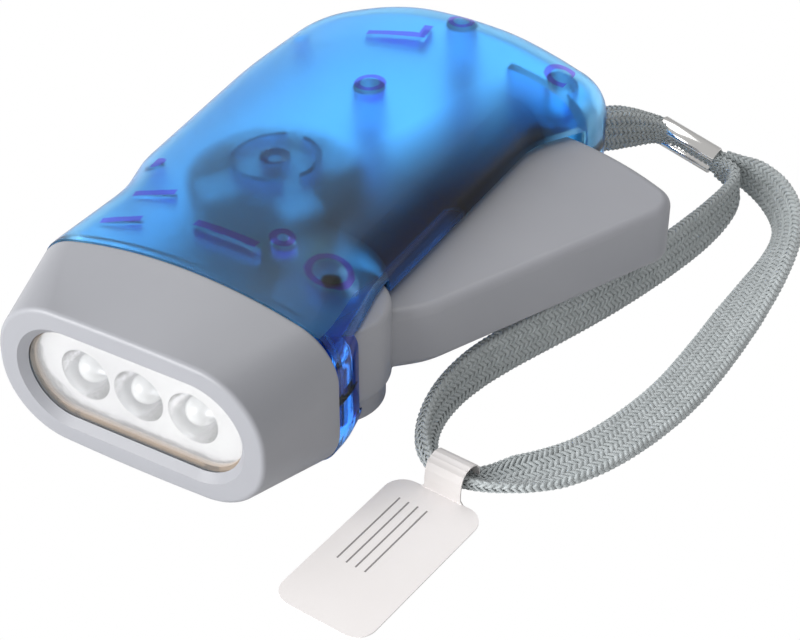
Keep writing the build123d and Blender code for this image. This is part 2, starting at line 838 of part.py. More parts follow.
def ceiling_posts():
    """Bosses, posts and ribs that hang from the upper shell."""
    top = case_thickness - wall / 2
    posts = upright(*rotor, rotor_boss_z, top, 2.4)
    posts += upright(*pivot, hub_top + end_play, top, pin_radius + 2.2)
    for centre in case_posts:
        posts += upright(*centre, split_z, top, post_radius)
    collar_bottom = cross_z + cross_thickness + collar_gap
    collar = upright(*rotor, collar_bottom, top, collar_radius, collar_radius - collar_wall)
    for angle in (95.0, 215.0, 325.0):
        gap = Rot(0, 0, angle) * Pos(collar_radius, 0, 0) * Box(3.0, 3.0, 200.0)
        collar -= Pos(*rotor, 0) * gap
    return posts + collar


def ceiling_ribs():
    """Short ribs and pins under the top face."""
    top = case_thickness - wall / 2
    low = top - 3.4
    middle = (top + low) / 2
    height = top - low
    ribs = upright(pivot_x - 8.8, pivot_y + 1.5, low + 0.4, top, 1.9)
    for x, y in locating_pins:
        ribs += upright(x, y, split_z + 4, top, 1.4)
    for x, y, angle, length in top_ribs:
        ribs += Pos(x, y, middle) * Rot(0, 0, angle) * Box(length, top_rib_thickness, height)
    return ribs


def ceiling_holes():
    holes = upright(*rotor, rotor_boss_z - 1, rotor_boss_z + 1.8 + end_play, shaft_radius + running_fit)
    holes += upright(*pivot, hub_top, hub_top + 2.6, pin_radius)
    for centre in case_posts:
        holes += upright(*centre, split_z - 1, split_z + screw_reach + 0.5, screw_radius)
    return holes


def upper_shell():
    solid = shell_blank() & z_slice(split_z, 2 * case_thickness)
    solid += inside(ceiling_posts() + ceiling_ribs()) & z_slice(split_z, 2 * case_thickness)
    solid += inside(tail_wall()) & z_slice(split_z, 2 * case_thickness)
    return solid - slot() - strap_exit() - ceiling_holes()


def case_screws():
    """Screws from the underside that close the shells."""
    screws = []
    for centre in case_posts:
        head = screw_seat(centre[0])
        neck = head + screw_head_height
        screw = upright(*centre, neck, split_z + screw_reach, screw_radius)
        screw += upright(*centre, head, neck, screw_head_radius)
        screw -= block(*centre, head, 0.6, 2.6, 1.2)
        screw -= block(*centre, head, 2.6, 0.6, 1.2)
        screws.append(screw)
    return screws


def screw_seat(x):
    """Height of a screw head's face: inside the crowned underside at X."""
    underside = crown_radius - sqrt(crown_radius**2 - x**2) - flat_depth
    return max(0.0, underside) + screw_recess


# ---- strap, sleeve and tag ----
def strap_run():
    """Direction of the strap from its post to the sleeve, in degrees."""
    return direction((strap_post_x, strap_post_y), sleeve_start)


def strap_plan(radius, length, width):
    """Plan of a loop round the post that narrows to a straight band."""
    tail = Pos(length / 2 + radius, 0) * Rectangle(length, width)
    shape = make_hull([*Circle(radius).edges(), *tail.edges()])
    return Pos(strap_post_x, strap_post_y) * Rot(0, 0, strap_run()) * shape


def strap_exit():
    """Pocket round the strap's post and the slot in the tail that it leads to."""
    low = split_z - strap_exit_height / 2
    radius = strap_core_radius + strap_loop_thickness + 2 * fit + strap_slack
    length = strap_exit_reach - radius
    space = at_height(strap_plan(radius, length, strap_exit_width), low, strap_exit_height)
    return space - upright(strap_post_x, strap_post_y, low, low + strap_exit_height, strap_core_radius)


def band_section(place, heading, width, height, corner):
    """Rounded section of the doubled strap at a place, facing along a heading."""
    side = Vector(0, 0, 1).cross(Vector(*heading))
    return Plane(origin=place, x_dir=side, z_dir=heading) * RectangleRounded(width, height, corner)


def strap_neck():
    """Doubled strap from its loop round the post, through the slot and the sleeve."""
    inner = strap_core_radius + fit
    outer = inner + strap_loop_thickness
    low = split_z - strap_width / 2
    band = at_height(strap_plan(outer, 4.2, 2 * strap_thickness + 0.2), low, strap_width)
    band -= at_height(strap_plan(inner, 2.0, 0.8), low, strap_width)
    run = strap_run()
    post = (strap_post_x, strap_post_y)
    flat = (cos(radians(run)), sin(radians(run)), 0)
    droop = (flat[0], flat[1], -0.3)
    sleeve = (sleeve_end[0] - sleeve_start[0], sleeve_end[1] - sleeve_start[1], sleeve_end[2] - sleeve_start[2])
    start = outer + 4.2
    end = Vector(*sleeve_end) + Vector(*sleeve).normalized() * (2 * sleeve_mouth)
    bore_width = sleeve_width - 2 * sleeve_wall - 2 * fit
    bore_height = sleeve_height - 2 * sleeve_wall - 2 * fit
    sections = [
        band_section((*polar(*post, run, start), split_z), flat, 2 * strap_thickness + 0.2, strap_width, 1.3),
        band_section((*polar(*post, run, start + 5.0), split_z - 1.0), droop, 4.0, strap_width - 0.6, 1.4),
        band_section((*polar(*post, run, start + 9.0), split_z - 2.6), droop, 4.4, 5.4, 1.4),
        band_section(sleeve_start, sleeve, bore_width, bore_height, 1.4),
        band_section(tuple(end), sleeve, bore_width, bore_height, 1.4),
    ]
    band += loft(sections, ruled=True)
    face_x = strap_points[0][0]
    return band & block(face_x - 50, strap_post_y, split_z, 100, 100, 100)


def crimp_sleeve():
    """Pressed metal sleeve that holds both bands together."""
    heading = Vector(*sleeve_end) - Vector(*sleeve_start)
    along = tuple(heading.normalized())
    outer = band_section(sleeve_start, along, sleeve_width, sleeve_height, 1.9)
    bore = band_section(sleeve_start, along, sleeve_width - 2 * sleeve_wall, sleeve_height - 2 * sleeve_wall, 1.5)
    return extrude(outer - bore, amount=sleeve_length)


def strap_loop():
    """Flat band that stands on edge and lies round on the table."""
    radii = []
    for before, corner, after in zip(strap_points, strap_points[1:], strap_points[2:]):
        turn = abs((direction(corner, after) - direction(before, corner) + 180) % 360 - 180)
        shorter = min(hypot(corner[0] - before[0], corner[1] - before[1]),
                      hypot(after[0] - corner[0], after[1] - corner[1]))
        radii.append(0.45 * shorter / tan(radians(turn / 2)))
    middle = strap_lift + strap_width / 2
    path = FilletPolyline(*[(x, y, middle) for x, y in strap_points], radius=radii)
    section = Plane(origin=path @ 0, x_dir=(0, 0, 1), z_dir=path % 0) * Rectangle(strap_width, strap_thickness)
    band = sweep(section, path=path)
    print("strap radii", [round(radius, 1) for radius in radii])
    print("strap length", round(path.length, 1), "volume over section and length",
          round(band.volume / (path.length * strap_width * strap_thickness), 4))
    return band


def paper_tag():
    """Bare card tag on the table, with a neck folded over the strap."""
    plate = at_height(Pos(0, -tag_length / 2) * RectangleRounded(tag_width, tag_length, tag_corner),
                      tag_thickness / 2, tag_thickness)
    strap_top = strap_lift + strap_width + tag_neck_gap
    strap_y = tag_strap_y() - tag_top[1]
    near = strap_y - strap_thickness / 2 - 1.5 * tag_neck_gap
    far = strap_y + strap_thickness / 2 + 1.5 * tag_neck_gap
    low = tag_thickness
    outside = [(-1.0, low), (near, strap_top), (near + 0.8, strap_top + 0.5), (far, strap_top + 0.5), (far, low)]
    inside_line = [(far - tag_thickness, low), (far - tag_thickness, strap_top + 0.5 - tag_thickness),
                   (near + 0.95, strap_top + 0.5 - tag_thickness), (near + tag_thickness, strap_top - 0.1),
                   (-1.0 + tag_thickness, low)]
    fold = make_face(Polyline(*outside, *inside_line, close=True))
    neck = extrude(Plane.YZ * fold, amount=tag_neck_width / 2, both=True)
    return Pos(*tag_top, 0) * Rot(0, 0, -tag_turn) * (plate + neck)


def tag_strap_y():
    """Height in plan of the strap where the tag's neck goes over it."""
    left, right = sorted(strap_points, key=lambda point: abs(point[0] - tag_top[0]) + abs(point[1] - tag_top[1]))[:2]
    return (left[1] + right[1]) / 2 + 0.7


if __name__ == "__main__":
    os.makedirs("parts", exist_ok=True)
    nodes = {
        "upper_shell": upper_shell(),
        "lower_shell": lower_shell(),
        "head_cap": head_cap(),
        "lens": lens(),
        "lens_gasket": lens_gasket(),
        "reflector": reflector(),
        "led_board": led_board(),
        "rectifier_diodes": rectifier_diodes(),
        "cell_stack": cell_stack(),
        "lever": lever(),
        "lever_pin": lever_pin(),
        "return_spring": return_spring(),
        "gear_1": gear_1(),
        "gear_1_pin": gear_pin(gear_1_at),
        "gear_2": gear_2(),
        "gear_2_pin": gear_pin(gear_2_at),
        "rotor_pinion": rotor_pinion(),
        "drive_shaft": drive_shaft(),
        "frame_plate": frame_plate(),
        "plate_screws": plate_screws(),
        "stator_cage": stator_cage(),
        "stator_cap": stator_cap(),
        "coil_bobbin": coil_bobbin(),
        "coil_winding": coil_winding(),
        "flywheel": flywheel(),
        "ratchet_cross": ratchet_cross(),
        "case_screws": case_screws(),
        "strap_neck": strap_neck(),
        "strap_loop": strap_loop(),
        "crimp_sleeve": crimp_sleeve(),
        "paper_tag": paper_tag(),
    }
    for index, x in enumerate(cup_centres(), start=1):
        nodes[f"led_{index}"] = led(x)
    for name, shape in nodes.items():
        solid = Compound(children=list(shape)) if isinstance(shape, list) else shape
        export_step(solid, f"parts/{name}.step")
        print(name, round(solid.volume, 1))
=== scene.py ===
"""Squeeze-lever dynamo torch with a wrist strap, in a plain pale studio."""
import bpy
import math
import numpy as np
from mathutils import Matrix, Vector


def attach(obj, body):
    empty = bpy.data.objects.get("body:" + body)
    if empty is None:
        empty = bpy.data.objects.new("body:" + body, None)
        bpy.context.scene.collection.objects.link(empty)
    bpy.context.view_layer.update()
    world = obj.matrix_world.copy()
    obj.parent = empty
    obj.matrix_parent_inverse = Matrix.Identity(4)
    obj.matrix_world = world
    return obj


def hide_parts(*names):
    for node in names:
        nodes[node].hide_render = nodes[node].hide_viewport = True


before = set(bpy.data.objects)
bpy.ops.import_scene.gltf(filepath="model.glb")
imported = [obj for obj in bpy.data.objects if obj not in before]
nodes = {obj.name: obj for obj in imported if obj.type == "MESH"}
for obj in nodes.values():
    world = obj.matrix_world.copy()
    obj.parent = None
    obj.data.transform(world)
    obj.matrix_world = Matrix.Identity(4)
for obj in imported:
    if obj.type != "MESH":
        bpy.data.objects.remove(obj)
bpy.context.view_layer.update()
MM = 0.001

# ---------------------------------------------------------------- camera
TARGET = Vector((0.0230, -0.0128, 0.01475))
DISTANCE = 0.2975
AZIMUTH, ELEVATION = math.radians(30.5), math.radians(38.0)
back = Vector((math.sin(AZIMUTH) * math.cos(ELEVATION),
               -math.cos(AZIMUTH) * math.cos(ELEVATION),
               math.sin(ELEVATION)))
camera = bpy.data.objects.new("camera", bpy.data.cameras.new("camera"))
camera.data.lens = 90.0
camera.data.sensor_width = 36.0
camera.data.clip_start = 0.005
camera.location = TARGET + back * DISTANCE
camera.rotation_euler = back.to_track_quat("Z", "Y").to_euler()
bpy.context.collection.objects.link(camera)
bpy.context.scene.camera = camera


# ---------------------------------------------------------------- strap
# x, y, z of the control points of the band's middle line, and there its width, its lean in degrees
# (0 stands on edge, -90 lies flat), its thickness and how far its middle bulges out past its edges; in mm
STRAP = [
    (43.9, 61.3, 7.9, 4.0, 0, 1.9, 0.0),
    (46.5, 61.3, 7.3, 5.0, -4, 1.8, 0.0),
    (49.8, 61.9, 6.2, 6.6, -8, 1.8, 0.0),
    (54.2, 60.3, 5.0, 7.6, -14, 1.7, 0.0),
    (58.4, 55.6, 4.5, 7.8, -22, 1.7, 0.0),
    (60.6, 48.6, 3.9, 7.8, -42, 1.7, 0.0),
    (61.0, 39.5, 2.9, 7.8, -64, 1.7, 0.0),
    (60.7, 29.0, 1.6, 7.8, -84, 1.7, 0.0),
    (60.5, 18.0, 1.1, 7.8, -90, 1.7, 0.0),
    (59.9, 7.0, 1.1, 7.8, -91, 1.7, 0.0),
    (57.7, -3.5, 1.2, 7.8, -92, 1.7, 0.0),
    (55.0, -11.8, 1.4, 7.6, -94, 1.7, -0.3),
    (51.6, -18.0, 1.8, 7.4, -96, 1.7, -0.9),
    (48.4, -21.8, 2.2, 6.8, -94, 1.7, -1.6),
    (44.6, -25.3, 2.3, 4.6, -84, 1.8, -1.6),
    (38.8, -27.0, 2.3, 4.0, -50, 1.8, -0.8),
    (34.3, -24.4, 2.6, 4.8, -24, 2.0, -1.2),
    (31.6, -19.6, 3.0, 5.6, -16, 1.9, -1.2),
    (30.6, -13.5, 3.4, 6.4, -14, 1.8, -1.0),
    (31.4, -6.2, 3.8, 7.2, -12, 1.7, -0.6),
    (34.0, 2.0, 4.0, 7.6, -10, 1.7, -0.2),
    (37.6, 11.5, 4.0, 7.8, -10, 1.7, 0.0),
    (41.2, 22.0, 4.0, 7.8, -12, 1.7, 0.0),
    (44.3, 33.0, 4.0, 7.8, -12, 1.7, 0.0),
    (46.6, 43.5, 4.1, 7.8, -12, 1.7, 0.0),
    (47.7, 50.0, 4.5, 7.6, -10, 1.7, 0.0),
    (48.2, 54.6, 5.2, 7.0, -8, 1.7, 0.0),
    (47.9, 57.3, 6.2, 6.2, -6, 1.7, 0.0),
    (46.3, 59.3, 7.2, 5.0, -4, 1.8, 0.0),
    (43.9, 59.3, 7.8, 4.0, 0, 1.9, 0.0),
]
# doubled strap from inside the case to the far end of the sleeve
NECK = [
    (23.2, 46.9, 14.75, 7.4, 0, 1.8, 0.0),
    (25.2, 50.0, 14.5, 7.4, 0, 1.8, 0.0),
    (27.2, 53.2, 13.7, 7.2, 0, 1.8, 0.0),
    (29.3, 56.6, 12.5, 6.0, 0, 1.8, 0.0),
    (31.9, 60.2, 11.1, 4.2, 0, 1.8, 0.0),
    (35.5, 60.6, 10.1, 3.4, 0, 1.5, 0.0),
    (39.5, 60.5, 8.9, 3.4, 0, 1.5, 0.0),
    (43.9, 60.3, 7.8, 3.4, 0, 1.5, 0.0),
]
STATION_STEP = 0.34 * MM    # between the points of a strand
STRANDS = 16                # strands that wind each way round a band
TURN_LENGTH = 15.5 * MM     # length of band for one whole turn of a strand
STRAND_HEIGHT = 0.19 * MM   # half of a strand's own thickness
STRAND_SHARE = 0.80         # width of a strand, as a share of its room on the outline
WEAVE = 0.9                 # rise and fall of a strand, in strand heights
CORE_INSET = 0.55 * MM      # how much narrower and thinner the core is than the band
CORE_SIDES = 12


def spline_points(name, route):
    """Points along a smooth NURBS line that has the route as its control points."""
    data = bpy.data.curves.new(name, "CURVE")
    data.dimensions = "3D"
    line = data.splines.new("NURBS")
    line.points.add(len(route) - 1)
    for point, row in zip(line.points, route):
        point.co = (row[0] * MM, row[1] * MM, row[2] * MM, 1.0)
    line.order_u = 3
    line.use_endpoint_u = True
    line.resolution_u = 24
    holder = bpy.data.objects.new(name, data)
    bpy.context.collection.objects.link(holder)
    bpy.context.view_layer.update()
    evaluated = holder.evaluated_get(bpy.context.evaluated_depsgraph_get())
    mesh = bpy.data.meshes.new_from_object(evaluated)
    points = np.array([v.co[:] for v in mesh.vertices])
    bpy.data.objects.remove(holder)
    bpy.data.meshes.remove(mesh)
    return points


def along_route(route):
    """Evenly spaced middle points of a band, with its directions and sizes at each."""
    raw = spline_points("route", route)
    run = np.r_[0.0, np.cumsum(np.linalg.norm(np.diff(raw, axis=0), axis=1))]
    s = np.linspace(0.0, run[-1], int(run[-1] / STATION_STEP) + 1)
    middle = np.stack([np.interp(s, run, raw[:, i]) for i in range(3)], axis=1)
    # how far along the line it comes nearest to each row of the route
    reached = []
    low = 0
    for row in route:
        gap = np.linalg.norm(raw[low:] - np.array(row[:3]) * MM, axis=1)
        low += int(np.argmin(gap[: max(3, len(raw) // 6)]))
        reached.append(run[low])
    reached = np.maximum.accumulate(np.array(reached) + np.arange(len(reached)) * 1e-9)
    width, thick, bulge = (np.interp(s, reached, [row[i] * MM for row in route]) for i in (3, 5, 6))
    lean = np.radians(np.interp(s, reached, [row[4] for row in route]))
    tangent = np.gradient(middle, axis=0)
    tangent /= np.linalg.norm(tangent, axis=1)[:, None]
    side = np.cross(tangent, np.array([0.0, 0.0, 1.0]))
    side /= np.linalg.norm(side, axis=1)[:, None]
    over = np.cross(side, tangent)
    across = over * np.cos(lean)[:, None] + side * np.sin(lean)[:, None]
    normal = np.cross(tangent, across)
    return s, middle, across, normal, width, thick, bulge


def stadium(u, width, thick):
    """Point and outward normal on a flat oval, by share of its circumference."""
    radius = thick / 2
    flat = np.maximum(width - thick, 1e-6)
    total = 2 * flat + 2 * math.pi * radius
    d = (u % 1.0) * total
    x = np.zeros_like(d)
    y = np.zeros_like(d)
    nx = np.zeros_like(d)
    ny = np.zeros_like(d)
    top = d < flat
    x[top], y[top], ny[top] = (d - flat / 2)[top], radius[top], 1.0
    turn = (~top) & (d < flat + math.pi * radius)
    angle = math.pi / 2 - (d - flat) / radius
    x[turn] = (flat / 2 + radius * np.cos(angle))[turn]
    y[turn] = (radius * np.sin(angle))[turn]
    nx[turn], ny[turn] = np.cos(angle)[turn], np.sin(angle)[turn]
    rest = d - flat - math.pi * radius
    under = (~top) & (~turn) & (rest < flat)
    x[under], y[under], ny[under] = (flat / 2 - rest)[under], -radius[under], -1.0
    last = (~top) & (~turn) & (~under)
    angle = -math.pi / 2 - (rest - flat) / radius
    x[last] = (-flat / 2 + radius * np.cos(angle))[last]
    y[last] = (radius * np.sin(angle))[last]
    nx[last], ny[last] = np.cos(angle)[last], np.sin(angle)[last]
    return x, y, nx, ny


def band_outline(u, width, thick, inset, bulge):
    """Point and outward normal on the outline of a bulged band that is drawn in by the inset."""
    x, y, nx, ny = stadium(u, width - inset, thick - inset)
    return x, y + bulge * (0.5 - (2.0 * x / width) ** 2), nx, ny


def add_tube(verts, faces, rings):
    """Adds a closed tube through rings of points: an array of rings, points and x, y, z."""
    count, sides, _ = rings.shape
    first = len(verts)
    for i in range(count - 1):
        a = first + i * sides
        for j in range(sides):
            k = (j + 1) % sides
            faces.append((a + j, a + k, a + sides + k, a + sides + j))
    faces.append(tuple(first + j for j in reversed(range(sides))))
    faces.append(tuple(first + (count - 1) * sides + j for j in range(sides)))
    verts.extend(rings.reshape(-1, 3))


def new_mesh(name, verts, faces, smooth=True):
    mesh = bpy.data.meshes.new(name)
    mesh.from_pydata([tuple(v) for v in verts], [], faces)
    mesh.update()
    if smooth:
        mesh.shade_smooth()
    obj = bpy.data.objects.new(name, mesh)
    bpy.context.collection.objects.link(obj)
    return obj


def braid(name, bands):
    """Flat tubular braid: strands wind both ways round each band, over two and under two.

    Each band is a route and how far it lies to one side of it, in thicknesses. Returns the piece
    and the middle points of the first band.
    """
    verts, faces = [], []
    path = None
    for route, offset in bands:
        s, middle, across, normal, width, thick, bulge = along_route(route)
        middle = middle + normal * (offset * thick)[:, None]
        path = middle if path is None else path
        half = (0.5 * (2 * width + thick) / STRANDS * STRAND_SHARE)[:, None]
        for turn in (1, -1):
            for k in range(STRANDS):
                u = turn * s / TURN_LENGTH + k / STRANDS + (0.25 / STRANDS if turn < 0 else 0.0)
                x, y, nx, ny = band_outline(u, width, thick, 2 * STRAND_HEIGHT, bulge)
                lift = turn * STRAND_HEIGHT * WEAVE * np.cos(math.pi * STRANDS * u - math.pi / 4)
                out = across * nx[:, None] + normal * ny[:, None]
                centre = middle + across * x[:, None] + normal * y[:, None] + out * lift[:, None]
                ahead = np.gradient(centre, axis=0)
                ahead /= np.linalg.norm(ahead, axis=1)[:, None]
                side = np.cross(ahead, out)
                side /= np.linalg.norm(side, axis=1)[:, None]
                add_tube(verts, faces, np.stack([centre + side * half, centre + out * STRAND_HEIGHT,
                                                 centre - side * half, centre - out * STRAND_HEIGHT],
                                                axis=1))
        # soft core, so that nothing shows between the strands
        core = []
        for share in np.arange(CORE_SIDES) / CORE_SIDES:
            x, y, _, _ = band_outline(np.full_like(s, share), width, thick, CORE_INSET, bulge)
            core.append(middle + across * x[:, None] + normal * y[:, None])
        add_tube(verts, faces, np.stack(core, axis=1)[::2])
    return new_mesh(name, verts, faces), path


# ---------------------------------------------------------------- materials
def material(name, color, roughness, **sockets):
    """Principled material; numbers that are the same all over sit on its own sockets."""
    made = bpy.data.materials.new(name)
    made.use_nodes = True
    shader = made.node_tree.nodes["Principled BSDF"]
    shader.inputs["Base Color"].default_value = (*color, 1.0)
    shader.inputs["Roughness"].default_value = roughness
    for key, value in sockets.items():
        shader.inputs[key.replace("_", " ")].default_value = value
    return made


def tree(made):
    return made.node_tree, made.node_tree.nodes["Principled BSDF"]


def add(nt, kind, **values):
    node = nt.nodes.new(kind)
    for key, value in values.items():
        if key in node.inputs:
            node.inputs[key].default_value = value
        else:
            setattr(node, key, value)
    return node


def place(nt):
    """Coordinates fixed to the piece, in metres."""
    return add(nt, "ShaderNodeTexCoord").outputs["Object"]


def split_axes(nt, where):
    """The x, y and z of a place, as three sockets."""
    node = nt.nodes.new("ShaderNodeSeparateXYZ")
    nt.links.new(where, node.inputs[0])
    return node.outputs


def math_node(nt, operation, a, b=0.0, clamp=False):
    node = nt.nodes.new("ShaderNodeMath")
    node.operation = operation
    node.use_clamp = clamp
    for socket, value in zip(node.inputs, (a, b)):
        if hasattr(value, "is_output"):
            nt.links.new(value, socket)
        else:
            socket.default_value = value
    return node.outputs[0]


def largest(nt, values):
    """The largest of some values."""
    total = values[0]
    for value in values[1:]:
        total = math_node(nt, "MAXIMUM", total, value)
    return total


def product(nt, values):
    """All the values multiplied with each other."""
    total = values[0]
    for value in values[1:]:
        total = math_node(nt, "MULTIPLY", total, value)
    return total


def measured(nt, dx, dy, way_x, way_y):
    """How far a place lies from the origin of dx and dy, in the given direction."""
    return math_node(nt, "ADD", math_node(nt, "MULTIPLY", dx, way_x), math_node(nt, "MULTIPLY", dy, way_y))


def noise(nt, where, scale, detail=3.0):
    node = add(nt, "ShaderNodeTexNoise", Scale=scale, Detail=detail)
    nt.links.new(where, node.inputs["Vector"])
    return node.outputs["Fac"]


def blend_colors(nt, factor, a, b):
    node = nt.nodes.new("ShaderNodeMix")
    node.data_type = "RGBA"
    for socket, value in ((node.inputs[0], factor), (node.inputs[6], a), (node.inputs[7], b)):
        if hasattr(value, "is_output"):
            nt.links.new(value, socket)
        elif isinstance(value, tuple):
            socket.default_value = (*value, 1.0)
        else:
            socket.default_value = value
    return node.outputs[2]


def bumped(nt, shader, height, strength, distance):
    node = add(nt, "ShaderNodeBump", Strength=strength, Distance=distance)
    nt.links.new(height, node.inputs["Height"])
    nt.links.new(node.outputs["Normal"], shader.inputs["Normal"])


def grained(name, dark, light, roughness, grain=900.0, relief=0.00003, **sockets):
    """Moulded or rolled surface with a slight change of tone and a fine grain."""
    made = material(name, light, roughness, **sockets)
    nt, shader = tree(made)
    where = place(nt)
    tone = noise(nt, where, 60.0)
    nt.links.new(blend_colors(nt, tone, dark, light), shader.inputs["Base Color"])
    bumped(nt, shader, noise(nt, where, grain, 4.0), 0.25, relief)
    return made


def dress(names, made):
    for name in names:
        obj = nodes[name]
        if not obj.material_slots:
            obj.data.materials.append(made)
        for part in obj.material_slots:
            part.link = "OBJECT"
            part.material = made


# rings (x, y, inner, outer radius) and bars (x, y, angle, half length) under the top face, in mm
RINGS = [(-2.8, 21.5, 1.5, 2.6), (20.8, 43.3, 1.7, 3.0), (0.2, 46.4, 1.3, 2.3), (17.2, -22.7, 2.5, 3.6),
         (8.2, -21.0, 0.8, 2.0), (-24.0, 34.4, 0.0, 1.4), (-21.6, -11.1, 0.0, 1.4)]
BARS = [(0.8, -24.6, 0, 5.4), (-15.6, -19.7, 17, 3.4), (-15.8, -27.8, 19, 3.2), (-7.8, 37.7, 14, 4.8),
        (-3.4, 40.2, 100, 2.1)]
# rings on the free ends of the rotor's boss and of the collar round it, with the heights between
# which they show, and their strength
LOW_RINGS = [(-5.0, -3.0, 1.0, 2.5, 24.8, 26.4, 1.0), (-5.0, -3.0, 6.2, 7.3, 25.2, 26.6, 0.6)]
BAR_HALF = 0.75 * MM      # half width of a bar
SOFT_EDGE = 0.35 * MM     # width over which a mark fades out
WAVER = 0.5 * MM          # how unevenly the marks are outlined
MARKS_ABOVE = 26.6 * MM   # the rings and bars show above this height only

# the lever slot's edge in the top face: at SLOT_X in front, slanted outwards behind SLOT_BEND_Y
SLOT_X, SLOT_BEND_Y, SLOT_SLANT = 22.4 * MM, 3.0 * MM, 0.2
SHADE_FROM, SHADE_WIDTH = 1.2 * MM, 15.0 * MM                # the shade, measured inwards from that edge
SHADE_FRONT_Y, SHADE_FRONT_FADE = -19.0 * MM, 5.0 * MM       # where it begins, and how soon it is full
SHADE_REAR_Y, SHADE_REAR_FADE = 38.0 * MM, 6.0 * MM
SHADE_ABOVE = 19.0 * MM
LIP_FROM, LIP_FADE, LIP_BELOW = 1.0 * MM, 0.8 * MM, 26.0 * MM  # the clear lip along the slot: glossier, with a painted highlight


def marks(nt, where, axes):
    """How far the posts and ribs under the top face show, and the ends of the boss and collar."""
    x, y, z = axes
    waver = math_node(nt, "MULTIPLY", math_node(nt, "SUBTRACT", noise(nt, where, 420.0), 0.5), WAVER)

    def soft(value, edge):
        """Falls from 1 to 0 as the value passes the edge."""
        ramp = math_node(nt, "DIVIDE", math_node(nt, "SUBTRACT", edge, value), SOFT_EDGE)
        return math_node(nt, "ADD", ramp, 0.5, clamp=True)

    def local(at_x, at_y):
        return math_node(nt, "SUBTRACT", x, at_x * MM), math_node(nt, "SUBTRACT", y, at_y * MM)

    def ring_at(at_x, at_y, inner, outer):
        dx, dy = local(at_x, at_y)
        radius = math_node(nt, "SQRT", measured(nt, dx, dy, dx, dy))
        radius = math_node(nt, "ADD", radius, waver)
        ring = soft(radius, outer * MM)
        if inner:
            ring = math_node(nt, "SUBTRACT", ring, soft(radius, inner * MM), clamp=True)
        return ring

    def bar_at(at_x, at_y, angle, half):
        dx, dy = local(at_x, at_y)
        c, s = math.cos(math.radians(angle)), math.sin(math.radians(angle))
        u = math_node(nt, "ABSOLUTE", measured(nt, dx, dy, c, s))
        v = math_node(nt, "ABSOLUTE", measured(nt, dx, dy, -s, c))
        v = math_node(nt, "ADD", v, waver)
        return product(nt, [soft(u, half * MM), soft(v, BAR_HALF)])

    def end_at(at_x, at_y, inner, outer, low, top, strength):
        return product(nt, [ring_at(at_x, at_y, inner, outer),
                            math_node(nt, "GREATER_THAN", z, low * MM),
                            math_node(nt, "LESS_THAN", z, top * MM), strength])

    shapes = [ring_at(*ring) for ring in RINGS] + [bar_at(*bar) for bar in BARS]
    high = math_node(nt, "GREATER_THAN", z, MARKS_ABOVE)
    return product(nt, [largest(nt, shapes), high]), largest(nt, [end_at(*ring) for ring in LOW_RINGS])


def shade_by_slot(nt, axes):
    """1 in the deep shade just inside the lever slot, falling softly to 0 across the top face.

    The second value is how far a place lies inwards of the slot's edge.
    """
    x, y, z = axes
    behind = math_node(nt, "MAXIMUM", math_node(nt, "SUBTRACT", y, SLOT_BEND_Y), 0.0)
    edge = math_node(nt, "ADD", math_node(nt, "MULTIPLY", behind, SLOT_SLANT), SLOT_X)
    inward = math_node(nt, "SUBTRACT", edge, x)
    light = math_node(nt, "DIVIDE", math_node(nt, "SUBTRACT", inward, SHADE_FROM), SHADE_WIDTH, clamp=True)
    from_front = math_node(nt, "SUBTRACT", y, SHADE_FRONT_Y)
    from_rear = math_node(nt, "SUBTRACT", SHADE_REAR_Y, y)
    shade = product(nt, [math_node(nt, "SUBTRACT", 1.0, math_node(nt, "MULTIPLY", light, light)),
                         math_node(nt, "DIVIDE", from_front, SHADE_FRONT_FADE, clamp=True),
                         math_node(nt, "DIVIDE", from_rear, SHADE_REAR_FADE, clamp=True),
                         math_node(nt, "GREATER_THAN", z, SHADE_ABOVE)])
    return shade, inward


def shell_material():
    """Tinted translucent plastic: satin on the large faces, clear and glossy along the slot, with painted shade
    inside the slot, a painted highlight on its lip and painted shade on turned-away edges.
    """
    pale, deep, painted_rim_violet = (0.30, 0.71, 1.0), (0.18, 0.58, 1.0), (0.30, 0.12, 0.95)
    shadow, painted_lip_highlight = (0.001, 0.003, 0.014), (0.04, 0.26, 1.0)
    post_purple, boss_purple = (0.26, 0.08, 0.72), (0.03, 0.01, 0.14)
    satin, lip_polish = 0.34, 0.28
    made = material("tinted_plastic", (0.28, 0.70, 1.0), satin, IOR=1.38, Transmission_Weight=1.0,
                    Coat_Weight=0.12, Coat_Roughness=0.12)
    nt, shader = tree(made)
    where = place(nt)
    axes = split_axes(nt, where)
    mark, ends = marks(nt, where, axes)
    shade, inward = shade_by_slot(nt, axes)
    # painted edge shade: the colour deepens to violet where the face turns away from view
    facing = add(nt, "ShaderNodeLayerWeight", Blend=0.35).outputs["Facing"]
    rim = math_node(nt, "MULTIPLY", math_node(nt, "POWER", facing, 4.0), 0.9, clamp=True)
    # painted highlight: the lip along the slot is painted a brighter blue
    lip = math_node(nt, "DIVIDE", math_node(nt, "SUBTRACT", LIP_FROM, inward), LIP_FADE, clamp=True)
    lip = math_node(nt, "MULTIPLY", lip, math_node(nt, "LESS_THAN", axes[2], LIP_BELOW))
    color = blend_colors(nt, noise(nt, where, 35.0), deep, pale)
    for share, over in ((rim, painted_rim_violet), (shade, shadow), (lip, painted_lip_highlight),
                        (mark, post_purple), (ends, boss_purple)):
        color = blend_colors(nt, share, color, over)
    nt.links.new(color, shader.inputs["Base Color"])
    rough = math_node(nt, "SUBTRACT", satin, math_node(nt, "MULTIPLY", lip, lip_polish))
    nt.links.new(rough, shader.inputs["Roughness"])
    bumped(nt, shader, noise(nt, where, 1500.0, 4.0), 0.2, 0.00003)
    return made


